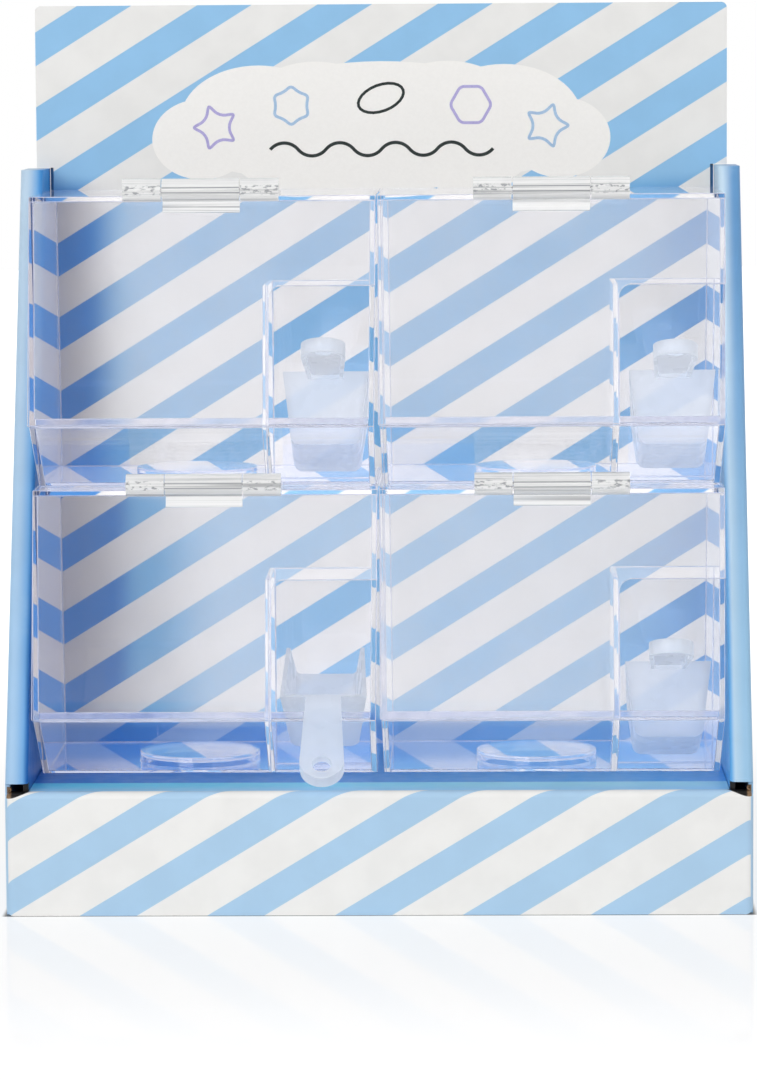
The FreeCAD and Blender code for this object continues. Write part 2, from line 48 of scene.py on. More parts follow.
scene = bpy.context.scene
scene.view_settings.view_transform = "Standard"
scene.cycles.max_bounces = 20
scene.cycles.transmission_bounces = 16
scene.cycles.glossy_bounces = 12
scene.cycles.diffuse_bounces = 4
scene.cycles.transparent_max_bounces = 16
MM = 0.001
ROWS_MEET = 168 * MM
CORNERS = [f"{row}_{column}" for row in ("upper", "lower") for column in ("left", "right")]


# Camera

CAMERA_PLACE = Vector((0.04047, -1.9362, 0.3389))
CAMERA_YAW = radians(1.221)
CAMERA_PITCH = radians(5.74)
CAMERA_ROLL = radians(0.368)
LENS_SHARE = 4713.85 / 1080


def make_camera():
    """Long lens a little right of the middle, looking slightly down."""
    sight = bpy.data.cameras.new("camera")
    sight.sensor_width = 36
    sight.lens = LENS_SHARE * sight.sensor_width
    sight.clip_end = 20
    holder = bpy.data.objects.new("camera", sight)
    turn = (Matrix.Rotation(CAMERA_YAW, 3, "Z")
            @ Matrix.Rotation(pi / 2 - CAMERA_PITCH, 3, "X")
            @ Matrix.Rotation(-CAMERA_ROLL, 3, "Z"))
    holder.matrix_world = Matrix.Translation(CAMERA_PLACE) @ turn.to_4x4()
    scene.collection.objects.link(holder)
    scene.camera = holder


make_camera()


# Shader nodes

def tint(red, green, blue):
    """Colour written in screen values from 0 to 255."""
    def linear(part):
        part /= 255
        return part / 12.92 if part <= 0.04045 else ((part + 0.055) / 1.055) ** 2.4
    return (linear(red), linear(green), linear(blue), 1.0)


def add(tree, kind, inputs=(), **settings):
    """New shader node, its inputs given as values or as sockets to link."""
    node = tree.nodes.new("ShaderNode" + kind)
    for name, value in settings.items():
        setattr(node, name, value)
    for name, value in dict(inputs).items():
        socket = node.inputs[name]
        if isinstance(value, bpy.types.NodeSocket):
            tree.links.new(value, socket)
        else:
            socket.default_value = value
    return node


def calc(tree, operation, *values):
    node = add(tree, "Math", dict(enumerate(values)), operation=operation)
    return node.outputs[0]


def ramp(tree, value, low, high, start=0.0, end=1.0):
    node = add(tree, "MapRange", {"Value": value, "From Min": low, "From Max": high,
                                  "To Min": start, "To Max": end}, interpolation_type="SMOOTHSTEP")
    return node.outputs["Result"]


def over(tree, value, edge, soft=0.1 * MM):
    """Mask that is 1 where a value is past an edge."""
    return ramp(tree, value, edge - soft, edge + soft)


def under(tree, value, edge, soft=0.1 * MM):
    return ramp(tree, value, edge - soft, edge + soft, 1.0, 0.0)


def both(tree, *masks):
    result = masks[0]
    for mask in masks[1:]:
        result = calc(tree, "MULTIPLY", result, mask)
    return result


def blend_colours(tree, share, first, second, blend_type="MIX"):
    node = add(tree, "Mix", {0: share, 6: first, 7: second}, data_type="RGBA", blend_type=blend_type)
    return node.outputs[2]


def grey(tree, value):
    return add(tree, "CombineColor", {"Red": value, "Green": value, "Blue": value}).outputs[0]


def noise(tree, vector, scale, detail=2.0, roughness=0.5):
    node = add(tree, "TexNoise", {"Vector": vector, "Scale": scale, "Detail": detail, "Roughness": roughness})
    return node.outputs["Fac"]


def stretched(tree, vector, x=1.0, y=1.0, z=1.0):
    node = add(tree, "Mapping", {"Vector": vector, "Scale": (x, y, z)})
    return node.outputs["Vector"]


def parts_of(tree, place):
    split = add(tree, "SeparateXYZ", {"Vector": place})
    return split.outputs[0], split.outputs[1], split.outputs[2]


def seen_directly(tree):
    """1 for what the camera, a mirror or a clear piece shows, 0 for light on other surfaces."""
    path = add(tree, "LightPath")
    return calc(tree, "MAXIMUM", path.outputs["Is Camera Ray"],
                calc(tree, "MAXIMUM", path.outputs["Is Glossy Ray"], path.outputs["Is Transmission Ray"]))


def new_material(name):
    material = bpy.data.materials.new(name)
    material.use_nodes = True
    tree = material.node_tree
    tree.nodes.clear()
    place = add(tree, "TexCoord").outputs["Object"]
    return material, tree, place


def finish_material(tree, shader):
    add(tree, "OutputMaterial", {"Surface": shader.outputs[0]})


# Card

INK_BLUE = tint(148, 199, 238)
# Painted light: the lip's blue is a lighter copy of the board's print blue, for the stronger light on the
# front.
LIT_LIP_BLUE = tint(178, 213, 241)
# Painted shade: the print blue made deeper behind the bins, and deeper again in the lower row.
SHADED_INNER_BLUE = tint(104, 175, 223)
SHADED_LOW_BLUE = tint(128, 188, 230)
# Painted shade along the board's foot behind the lower bins.
FOOT_SHADE_BLUE = tint(36, 116, 200)
FOOT_SHADE_WHITE = tint(124, 158, 206)
# Painted shade on the board beside the left wall.
CORNER_SHADE_BLUE = tint(50, 132, 208)
# Painted shade in the narrow rebate beside each wall, partly the dark cut card.
CREASE_SHADE_BLUE = tint(66, 126, 180)
PAPER_WHITE = tint(240, 239, 236)
# Painted light: the lip's white is a lighter copy of the paper, as for its blue.
LIT_LIP_WHITE = tint(247, 246, 243)
INNER_WHITE = tint(240, 239, 237)
# Painted shade on the paper beside the left wall.
CORNER_SHADE_WHITE = tint(198, 194, 198)
RAW_CARD = tint(104, 78, 52)
RAW_CARD_LIGHT = tint(140, 110, 78)
SLOT_SHADE = tint(12, 9, 8)
STRIPE_SOFTNESS = 0.25 * MM
CASE_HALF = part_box("front_lip")[1].x
WALL_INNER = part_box("right_side_wall")[0].x
WALL_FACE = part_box("front_lip")[1].y
LIP_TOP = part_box("front_lip")[1].z
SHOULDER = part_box("right_side_wall")[1].z
SLOT_WIDTH = 11.2 * MM
BIN_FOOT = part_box("bin_lower_left")[0].y + 12 * MM


def bands(tree, across, up, pitch, slant, phase, share):
    """Mask that is 1 on the blue bands, which rise to the right."""
    run = calc(tree, "MULTIPLY_ADD", up, -slant, across)
    turns = calc(tree, "MULTIPLY_ADD", run, 1 / pitch, -phase / pitch)
    from_middle = calc(tree, "PINGPONG", calc(tree, "SUBTRACT", turns, 1 - share / 2), 0.5)
    edge = STRIPE_SOFTNESS / pitch
    return ramp(tree, from_middle, share / 2 - edge, share / 2 + edge, 1.0, 0.0)


def near_left_wall(tree, across, up, upper_span, lower_span):
    """1 beside the left wall and 0 past a span of distances in mm, which is longer in the lower row."""
    low = ramp(tree, up, ROWS_MEET - 8 * MM, ROWS_MEET + 8 * MM, 1.0, 0.0)
    span = [calc(tree, "MULTIPLY_ADD", low, (lower - upper) * MM, upper * MM)
            for upper, lower in zip(upper_span, lower_span)]
    return ramp(tree, calc(tree, "ADD", across, WALL_INNER), *span, 1.0, 0.0)


def card_surface(tree, place, colour, flute_along, roughness=0.46):
    """Varnished card over fluted board: fine fibre, faint flutes, soft dents."""
    flute_pitch = 2.6 * MM
    flutes = calc(tree, "SINE", calc(tree, "MULTIPLY", flute_along, tau / flute_pitch))
    fibre = noise(tree, place, 2600.0, 3.0)
    dents = noise(tree, place, 26.0, 2.0)
    height = calc(tree, "MULTIPLY_ADD", flutes, 0.012, calc(tree, "MULTIPLY_ADD", dents, 2.2,
                                                            calc(tree, "MULTIPLY", fibre, 0.02)))
    bump = add(tree, "Bump", {"Height": height, "Strength": 0.35, "Distance": 0.6 * MM})
    cloud = ramp(tree, noise(tree, place, 60.0, 4.0), 0.3, 0.7, 0.975, 1.02)
    shade = blend_colours(tree, 1.0, colour, grey(tree, cloud), "MULTIPLY")
    gloss = ramp(tree, noise(tree, place, 180.0, 3.0), 0.25, 0.75, roughness - 0.05, roughness + 0.06)
    return add(tree, "BsdfPrincipled", {
        "Base Color": shade, "Roughness": gloss, "Normal": bump.outputs[0],
        "Specular IOR Level": 0.4, "Coat Weight": 0.12, "Coat Roughness": 0.3,
    })


def corner_slot(tree, out, up):
    """Mask of the dark slot left in the fold at each front corner, higher inside and lower outside: a painted
    slot, where the gap's shade is painted on.
    """
    outward = ramp(tree, out, CASE_HALF - SLOT_WIDTH, CASE_HALF - 1.5 * MM)
    top = calc(tree, "MULTIPLY_ADD", outward, -1.5 * MM, LIP_TOP + 3.4 * MM)
    foot = calc(tree, "MULTIPLY_ADD", outward, -2.5 * MM, LIP_TOP + 0.1 * MM)
    above = ramp(tree, calc(tree, "SUBTRACT", up, foot), -0.15 * MM, 0.15 * MM)
    below = ramp(tree, calc(tree, "SUBTRACT", up, top), -0.15 * MM, 0.15 * MM, 1.0, 0.0)
    return both(tree, above, below, over(tree, out, CASE_HALF - SLOT_WIDTH, 0.3 * MM),
                under(tree, out, CASE_HALF - 0.7 * MM, 0.2 * MM))


def slot_shade_and_card(tree, place, out):
    """Painted shade inside the slot, with the bare card's curl at its outer end."""
    curl = over(tree, out, CASE_HALF - 2.6 * MM, 0.4 * MM)
    return blend_colours(tree, curl, SLOT_SHADE, raw_card(tree, place))


def raw_card(tree, place):
    return blend_colours(tree, ramp(tree, noise(tree, place, 700.0), 0.35, 0.65), RAW_CARD, RAW_CARD_LIGHT)


def board_material():
    """Header and back panel: stripes in front, plain paper behind, raw card on the cut edges, and painted shade
    behind the bins, beside the left wall, along the foot and in the rebates beside the walls.
    """
    material, tree, place = new_material("striped_back_board")
    across, depth, up = parts_of(tree, place)
    low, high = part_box("back_board")
    stripes = bands(tree, across, up, pitch=50.9 * MM, slant=1.615, phase=-592.96 * MM, share=0.452)
    behind_bins = under(tree, up, SHOULDER - 8 * MM, 6 * MM)
    low_half = under(tree, up, ROWS_MEET, 2 * MM)
    # Painted shade: deeper blue and darker white beside the left wall, which shades the board, and a blue that
    # deepens leftwards across the whole width.
    deep_shade = near_left_wall(tree, across, up, (13, 32), (24, 38))
    deep_shade = calc(tree, "MAXIMUM", deep_shade, ramp(tree, across, 88 * MM, WALL_INNER, 0.0, 0.55))
    shade = near_left_wall(tree, across, up, (0, 31), (0, 45))
    inner_blue_shaded = blend_colours(tree, deep_shade, blend_colours(tree, low_half, SHADED_INNER_BLUE, SHADED_LOW_BLUE), CORNER_SHADE_BLUE)
    inner_white_with_shade = blend_colours(tree, shade, INNER_WHITE, CORNER_SHADE_WHITE)
    # Painted shade along the board's foot just above the floor card, stronger towards the left.
    foot = both(tree, under(tree, up, 61 * MM, 4 * MM), ramp(tree, across, -WALL_INNER, WALL_INNER, 0.95, 0.62))
    inner_blue_shaded = blend_colours(tree, foot, inner_blue_shaded, FOOT_SHADE_BLUE)
    inner_white_with_shade = blend_colours(tree, foot, inner_white_with_shade, FOOT_SHADE_WHITE)
    # Behind the bins the print blue gives way to the painted shade blues; the white takes painted shade near
    # the left wall and along the foot.
    front = blend_colours(tree, stripes, blend_colours(tree, behind_bins, PAPER_WHITE, inner_white_with_shade),
                          blend_colours(tree, behind_bins, INK_BLUE, inner_blue_shaded))
    paper = blend_colours(tree, over(tree, depth, high.y - 0.4 * MM), front, PAPER_WHITE)
    cut_edge = both(tree, over(tree, depth, low.y + 0.4 * MM), under(tree, depth, high.y - 0.4 * MM))
    colour = blend_colours(tree, cut_edge, paper, raw_card(tree, place))
    # The rebate beside each wall is painted dark blue: painted shade of the narrow gap, partly the dark cut
    # card.
    rebate_shade = both(tree, over(tree, calc(tree, "ABSOLUTE", across), WALL_INNER - 1.75 * MM),
                  over(tree, depth, low.y + 0.2 * MM), under(tree, up, SHOULDER))
    finish_material(tree, card_surface(tree, place, blend_colours(tree, rebate_shade, colour, CREASE_SHADE_BLUE), across))
    return material


def lip_material():
    """Front lip: stripes that run over its rolled top, plain at the two corners."""
    material, tree, place = new_material("striped_front_lip")
    across, depth, up = parts_of(tree, place)
    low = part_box("front_lip")[0]
    unrolled = calc(tree, "ADD", up, calc(tree, "SUBTRACT", depth, low.y))
    stripes = bands(tree, across, unrolled, pitch=51.3 * MM, slant=1.657, phase=-46.03 * MM,
                    share=0.448)
    out = calc(tree, "ABSOLUTE", across)
    corner = over(tree, out, CASE_HALF - 1.1 * MM, 0.15 * MM)
    blue = calc(tree, "MAXIMUM", stripes, corner)
    # Lighter copies of the print colours: painted light on the front lip.
    colour = blend_colours(tree, blue, LIT_LIP_WHITE, LIT_LIP_BLUE)
    colour = blend_colours(tree, corner_slot(tree, out, up), colour, slot_shade_and_card(tree, place, out))
    finish_material(tree, card_surface(tree, place, colour, across))
    return material


def wall_material():
    """Side walls: one blue card with painted light and shade, paler on the lit rolled fronts and deeper blue on
    the shaded inner faces, with random lighter wear, and painted shade in the corner slots with bare card at
    their outer ends.
    """
    material, tree, place = new_material("blue_card_side")
    across, depth, up = parts_of(tree, place)
    out = calc(tree, "ABSOLUTE", across)
    wear = ramp(tree, noise(tree, place, 35.0, 5.0, 0.6), 0.52, 0.78, 0.0, 0.35)
    right = over(tree, across, 0.0, 1 * MM)
    high = ramp(tree, up, 80 * MM, SHOULDER)
    # Painted light and shade on the rolled fronts: the left wall dark on its inner half and lighter outside,
    # the right wall pale inside and darker at its outer edge towards the top.
    near_lit_and_shaded = blend_colours(tree, right, tint(104, 170, 228),
                         blend_colours(tree, high, tint(188, 218, 240), tint(208, 232, 250)))
    edge = blend_colours(tree, right, blend_colours(tree, high, tint(166, 204, 238), tint(192, 217, 238)),
                         blend_colours(tree, high, tint(158, 202, 234), tint(104, 160, 212)))
    front = blend_colours(tree, ramp(tree, out, WALL_INNER + 1.0 * MM, CASE_HALF - 2.5 * MM), near_lit_and_shaded, edge)
    worn = blend_colours(tree, wear, front, tint(166, 206, 238))
    # Painted shade on the inner faces: deep blue at the foot, lighter towards the top, the left wall darker
    # than the right.
    foot = blend_colours(tree, right, tint(8, 104, 190), tint(96, 180, 244))
    top = blend_colours(tree, right, tint(56, 152, 232), tint(206, 232, 250))
    inside = blend_colours(tree, high, foot, top)
    sides = blend_colours(tree, ramp(tree, out, WALL_INNER + 0.1 * MM, WALL_INNER + 2.4 * MM, 1.0, 0.0),
                          worn, inside)
    slot = both(tree, corner_slot(tree, out, up), under(tree, depth, WALL_FACE + 5 * MM))
    colour = blend_colours(tree, slot, sides, slot_shade_and_card(tree, place, out))
    finish_material(tree, card_surface(tree, place, colour, depth))
    return material


def floor_card_material(name):
    """Plain blue card that the bins stand on, with painted shade: deeper towards the back and under the bins,
    more so on the left.
    """
    material, tree, place = new_material(name)
    across, depth, _ = parts_of(tree, place)
    far = ramp(tree, depth, WALL_FACE, WALL_FACE + 16 * MM)
    right = ramp(tree, across, -CASE_HALF, CASE_HALF)
    back = blend_colours(tree, right, tint(92, 214, 255), tint(168, 229, 255))
    under_bins_shade = blend_colours(tree, right, tint(28, 124, 222), tint(84, 172, 244))
    colour = blend_colours(tree, far, tint(150, 214, 253), back)
    colour = blend_colours(tree, over(tree, depth, BIN_FOOT, 1 * MM), colour, under_bins_shade)
    finish_material(tree, card_surface(tree, place, colour, across))
    return material


def fold_material():
    """Bare edge of the folded card in the corner slots."""
    material, tree, place = new_material("bare_card_fold")
    finish_material(tree, card_surface(tree, place, raw_card(tree, place), parts_of(tree, place)[2], 0.7))
    return material


# Clear and frosted plastic

# Painted glow: past this ray depth the clear pieces give out emission instead of light from lamps.
EDGE_GLOW_DEPTH = 8.5
PAINTED_INSIDE_LIGHT = (1.22, 1.20, 1.17, 1.0)
EDGE_GLOW = (0.66, 0.70, 0.86, 1.0)
HINGE_GLOW = (0.86, 0.86, 0.86, 1.0)
CLEAR_PASSES = (0.985, 0.985, 0.988, 1.0)
HINGE_PASSES = (0.97, 0.97, 0.975, 1.0)
SCOOP_PASSES = (0.93, 0.95, 0.97, 1.0)
PLASTIC_IOR = 1.57


def with_painted_glow(tree, shader, colour):
    """Painted glow: a ray past a set depth in the clear pieces ends on a pale emission, no lamp, so their edges
    glow pale and card seen through them gets extra painted light.
    """
    path = add(tree, "LightPath")
    late = calc(tree, "GREATER_THAN", path.outputs["Ray Depth"], EDGE_GLOW_DEPTH)
    on_card = calc(tree, "GREATER_THAN", path.outputs["Diffuse Depth"], 0.5)
    glow = add(tree, "Emission", {"Color": blend_colours(tree, on_card, colour, PAINTED_INSIDE_LIGHT), "Strength": 1.0})
    return add(tree, "MixShader", {0: late, 1: shader.outputs[0], 2: glow.outputs[0]})


def lamp_light_through(tree, shader, colour):
    """Lets the lamps' light through, so that a clear piece casts hardly a shadow."""
    open_way = add(tree, "BsdfTransparent", {"Color": colour})
    lamp_ray = add(tree, "LightPath").outputs["Is Shadow Ray"]
    return add(tree, "MixShader", {0: lamp_ray, 1: shader.outputs[0], 2: open_way.outputs[0]})


def clear_material(name, body_tint, roughness, streak_scale, veil_haze):
    """Moulded clear plastic: faint flow marks and smears, and a milky haze that is a painted reflection,
    standing in for the pale veil the walls reflect, thinner towards the left wall where that reflection is
    darker.
    """
    material, tree, place = new_material(name)
    across, _, up = parts_of(tree, place)
    flow = noise(tree, stretched(tree, place, *streak_scale), 1.0, 3.0)
    bump = add(tree, "Bump", {"Height": flow, "Strength": 0.08, "Distance": 0.05 * MM})
    smear = ramp(tree, noise(tree, place, 40.0, 4.0, 0.6), 0.45, 0.75, roughness, roughness + 0.04)
    patchy = ramp(tree, noise(tree, stretched(tree, place, 1.0, 1.0, 0.5), 30.0, 4.0), 0.3, 0.7, 0.85, 1.1)
    # Painted reflection: a milky diffuse share in place of the reflected veil, thinned towards the left wall.
    veil_thinning = near_left_wall(tree, across, up, (25, 47), (46, 78))
    milk = calc(tree, "MULTIPLY", patchy, calc(tree, "MULTIPLY_ADD", veil_thinning, -0.95 * veil_haze, veil_haze))
    plastic = add(tree, "BsdfPrincipled", {
        "Base Color": body_tint, "Roughness": smear, "IOR": PLASTIC_IOR,
        "Transmission Weight": calc(tree, "SUBTRACT", 1.0, milk), "Normal": bump.outputs[0],
    })
    painted_glowing = with_painted_glow(tree, plastic, EDGE_GLOW)
    finish_material(tree, lamp_light_through(tree, painted_glowing, CLEAR_PASSES))
    return material


def edge_material():
    """Narrow sawn and moulded edges of the clear pieces, painted pale lavender: a painted highlight for the
    light they gather.
    """
    material, tree, place = new_material("edge_painted_highlight")
    worn = noise(tree, place, 160.0, 3.0)
    plastic = add(tree, "BsdfPrincipled", {
        "Base Color": tint(231, 232, 246), "Roughness": ramp(tree, worn, 0.3, 0.7, 0.08, 0.2),
        "IOR": PLASTIC_IOR, "Transmission Weight": ramp(tree, worn, 0.3, 0.7, 0.52, 0.68),
    })
    painted_glowing = with_painted_glow(tree, plastic, EDGE_GLOW)
    finish_material(tree, lamp_light_through(tree, painted_glowing, CLEAR_PASSES))
    return material


def hinge_material(name, flecked):
    """Hinge leaves and knuckles: milky clear plastic with painted dark lengthwise streaks for its refraction
    streaks, and a painted bright line along the pin.
    """
    material, tree, place = new_material(name)
    up = parts_of(tree, place)[2]
    lines = noise(tree, stretched(tree, place, 6.0, 700.0, 700.0), 1.0, 2.0, 0.6)
    flecks = noise(tree, stretched(tree, place, 420.0, 900.0, 900.0), 1.0, 2.0, 0.6)
    upper_pin, lower_pin = (sum(edge.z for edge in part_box(f"hinge_pin_{row}_left")) / 2
                            for row in ("upper", "lower"))
    row = over(tree, up, 230 * MM, 1 * MM)
    pin_height = calc(tree, "MULTIPLY_ADD", row, upper_pin - lower_pin, lower_pin)
    from_pin = calc(tree, "ABSOLUTE", calc(tree, "SUBTRACT", up, pin_height))
    pin_edge_shade = both(tree, over(tree, from_pin, 0.75 * MM, 0.15 * MM),
                      under(tree, from_pin, 1.25 * MM, 0.2 * MM))
    # Painted light and shade: dark lengthwise streaks for the refraction streaks, dark flecks round the pin for
    # its sparkle, and dark bands beside the pin that leave a painted bright line along it.
    drawn = ramp(tree, lines, 0.54, 0.66, 0.0, 0.55)
    painted_flecks = both(tree, ramp(tree, flecks, 0.5, 0.62, 0.0, 0.75), under(tree, from_pin, 1.9 * MM, 0.5 * MM))
    dark = calc(tree, "MAXIMUM", drawn, painted_flecks if flecked else calc(tree, "MULTIPLY", pin_edge_shade, 0.8))
    height = calc(tree, "MULTIPLY_ADD", flecks, 0.5 if flecked else 0.1, lines)
    bump = add(tree, "Bump", {"Height": height, "Strength": 0.6, "Distance": 0.12 * MM})
    plastic = add(tree, "BsdfPrincipled", {
        "Base Color": blend_colours(tree, dark, tint(254, 254, 253), tint(128, 132, 138)), "Roughness": 0.08,
        "IOR": 1.5, "Transmission Weight": ramp(tree, lines, 0.3, 0.7, 0.16, 0.42), "Normal": bump.outputs[0],
    })
    painted_glowing = with_painted_glow(tree, plastic, HINGE_GLOW)
    finish_material(tree, lamp_light_through(tree, painted_glowing, HINGE_PASSES))
    return material


def frosted_material():
    """Scoops: milky, finely textured plastic that light passes, denser where it is seen edge on, with a faint
    painted glow that lifts their shaded parts.
    """
    material, tree, place = new_material("frosted_scoop_plastic")
    grain = noise(tree, place, 1800.0, 2.0)
    bump = add(tree, "Bump", {"Height": grain, "Strength": 0.10, "Distance": 0.05 * MM})
    gloss = ramp(tree, noise(tree, place, 90.0, 3.0), 0.3, 0.7, 0.24, 0.32)
    # Painted light: a faint emission that lifts the scoops' shaded parts.
    milk = add(tree, "BsdfPrincipled", {"Base Color": tint(228, 231, 237), "Roughness": gloss,
                                        "IOR": 1.5, "Normal": bump.outputs[0],
                                        "Emission Color": tint(228, 232, 242), "Emission Strength": 0.2})
    passing = add(tree, "BsdfTranslucent", {"Color": tint(238, 241, 246)})
    body = add(tree, "MixShader", {0: 0.45, 1: milk.outputs[0], 2: passing.outputs[0]})
    slant = add(tree, "LayerWeight", {"Blend": 0.5}).outputs["Facing"]
    patch = ramp(tree, noise(tree, place, 45.0, 2.0), 0.3, 0.7, 0.54, 0.62)
    density = calc(tree, "MULTIPLY_ADD", calc(tree, "POWER", slant, 2.0), 0.30, patch)
    clear = add(tree, "BsdfTransparent", {"Color": tint(250, 252, 254)})
    mixed = add(tree, "MixShader", {0: density, 1: clear.outputs[0], 2: body.outputs[0]})
    finish_material(tree, lamp_light_through(tree, mixed, SCOOP_PASSES))
    return material


def wire_material():
    """Hinge pins: bright drawn wire."""
    material, tree, place = new_material("bright_drawn_wire")
    lines = noise(tree, stretched(tree, place, 60.0, 4000.0, 4000.0), 1.0, 2.0)
    bump = add(tree, "Bump", {"Height": lines, "Strength": 0.15, "Distance": 0.02 * MM})
    gloss = ramp(tree, noise(tree, place, 500.0), 0.3, 0.7, 0.16, 0.28)
    finish_material(tree, add(tree, "BsdfPrincipled", {
        "Base Color": tint(238, 238, 240), "Metallic": 1.0, "Roughness": gloss, "Normal": bump.outputs[0],
    }))
    return material


def ink_material(name, colour, variation):
    """Flat print on the header's paper."""
    material, tree, place = new_material(name)
    patch = ramp(tree, noise(tree, place, 900.0, 3.0), 0.35, 0.65)
    shade = blend_colours(tree, patch, colour, variation)
    gloss = ramp(tree, noise(tree, place, 180.0, 3.0), 0.25, 0.75, 0.42, 0.5)
    finish_material(tree, add(tree, "BsdfPrincipled", {
        "Base Color": shade, "Roughness": gloss, "Specular IOR Level": 0.4,
        "Coat Weight": 0.12, "Coat Roughness": 0.3,
    }))
    return material


finishes = {
    "back_board": board_material(),
    "front_lip": lip_material(),
    "case_floor": floor_card_material("blue_card_floor"),
    "riser": floor_card_material("blue_card_riser"),
    "side_wall": wall_material(),
    "fold": fold_material(),
    "bin": clear_material("clear_bin_plastic", tint(252, 252, 254), 0.0, (18.0, 18.0, 18.0), 0.02),
    "lid": clear_material("clear_lid_plastic", tint(252, 252, 254), 0.004, (14.0, 14.0, 14.0), 0.17),
    "hinge_top_leaf": hinge_material("hinge_plastic_painted_flecks", True),
    "hinge_lid_leaf": hinge_material("hinge_plastic_painted_streaks", False),
    "plastic_edge": edge_material(),
    "pin": wire_material(),
    "scoop": frosted_material(),
    "panel": ink_material("header_panel_white", tint(251, 249, 245), tint(249, 247, 243)),
    "dark_ink": ink_material("header_dark_ink", tint(34, 44, 42), tint(44, 56, 54)),
    "blue_ink": ink_material("header_pale_blue_ink", tint(166, 196, 228), tint(176, 204, 233)),
    "lilac_ink": ink_material("header_lilac_ink", tint(176, 168, 220), tint(186, 178, 226)),
}


def dress(node, finish):
    for place in nodes[node].material_slots:
        place.material = finishes[finish]


# Pieces

def to_object(name, shape, finish, body):
    """Object from a finished bmesh, riding on a body."""
    mesh = bpy.data.meshes.new(name)
    shape.to_mesh(mesh)
    shape.free()
    piece = bpy.data.objects.new(name, mesh)
    piece.data.materials.append(finishes[finish])
    scene.collection.objects.link(piece)
    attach(piece, body)
    return piece


EDGE_WIDTH = 2.6 * MM
EDGE_LENGTH = 9 * MM
SHARP_TURN = radians(30)


def softened(node, finish, body, radius):
    """Copy of a moulded piece with its edges rounded."""
    shape = bmesh.new()
    shape.from_mesh(nodes[node].data)
    bmesh.ops.remove_doubles(shape, verts=shape.verts, dist=0.002 * MM)
    bmesh.ops.dissolve_limit(shape, angle_limit=radians(0.5), verts=shape.verts, edges=shape.edges)
    sharp = [edge for edge in shape.edges
             if len(edge.link_faces) == 2 and edge.calc_face_angle(0) > SHARP_TURN]
    bmesh.ops.bevel(shape, geom=sharp, offset=radius, affect="EDGES", segments=2, profile=0.5,
                    material=-1, clamp_overlap=True)
    for face in shape.faces:
        longest = max(edge.calc_length() for edge in face.edges)
        # Long narrow faces, the edges, take the painted edge highlight.
        face.material_index = int(longest > EDGE_LENGTH and face.calc_area() / longest < EDGE_WIDTH)
    piece = to_object(node + "_moulded", shape, finish, body)
    piece.data.materials.append(finishes["plastic_edge"])
    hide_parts(node)


for name in ("back_board", "front_lip", "case_floor", "riser"):
    dress(name, name)
for name in ("left_side_wall", "right_side_wall"):
    dress(name, "side_wall")
for corner in CORNERS:
    dress(f"hinge_pin_{corner}", "pin")
    dress(f"scoop_{corner}", "scoop")
    dress(f"hinge_top_leaf_{corner}", "hinge_top_leaf")
    dress(f"hinge_lid_leaf_{corner}", "hinge_lid_leaf")
    softened(f"bin_{corner}", "bin", f"{corner}_bin", 0.3 * MM)
    softened(f"lid_{corner}", "lid", f"{corner}_cover", 0.35 * MM)


def fold_end(side, sign):
    """Curled bare end of the lip's fold, at the outer end of a corner slot."""
    shape = bmesh.new()
    middle = Vector((sign * (CASE_HALF - 1.75 * MM), 0, LIP_TOP + 0.95 * MM))
    inner, outer = 0.4 * MM, 0.92 * MM
    front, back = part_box(f"{side}_side_wall")[0].y + 0.3 * MM, WALL_FACE - 0.02 * MM
    corners = [shape.verts.new((middle.x, depth, middle.z + up))
               for depth, up in ((front, inner), (back, inner), (back, outer), (front, outer))]
    section = shape.faces.new(corners)
    bmesh.ops.spin(shape, geom=[section], cent=middle, axis=(0, sign, 0), angle=radians(-215), steps=16)
    bmesh.ops.recalc_face_normals(shape, faces=shape.faces)
    to_object(f"fold_end_{side}", shape, "fold", "case")


fold_end("left", -1)
fold_end("right", 1)


# Header panel

PANEL_MIDDLE = Vector((0.0, 0.0, 0.3135))
BOARD_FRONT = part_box("back_board")[0].y
PANEL_LAYER = 0.06 * MM
PANEL_THICKNESS = 0.05 * MM
INK_LAYER = 0.11 * MM
INK_THICKNESS = 0.04 * MM
MOTIF_STROKE = 1.2 * MM
GARLAND_STROKE = 1.4 * MM


def flat_disc(shape, middle, half_width, half_height, layer, sides):
    """Thin upright disc in front of the board, its back touching the paper."""
    made = bmesh.ops.create_circle(shape, cap_ends=True, radius=1.0, segments=sides)["verts"]
    place = Matrix.Translation((middle[0], BOARD_FRONT - layer, middle[1]))
    size = Matrix.Diagonal((half_width, half_height, 1.0, 1.0))
    bmesh.ops.transform(shape, verts=made, matrix=place @ Matrix.Rotation(pi / 2, 4, "X") @ size)


def thicken_to_board(shape, layer):
    """Give flat faces the thickness between them and the board."""
    faces = list(shape.faces)
    grown = bmesh.ops.extrude_face_region(shape, geom=faces)["geom"]
    moved = [part for part in grown if isinstance(part, bmesh.types.BMVert)]
    bmesh.ops.translate(shape, verts=moved, vec=(0, layer, 0))
    bmesh.ops.recalc_face_normals(shape, faces=shape.faces)


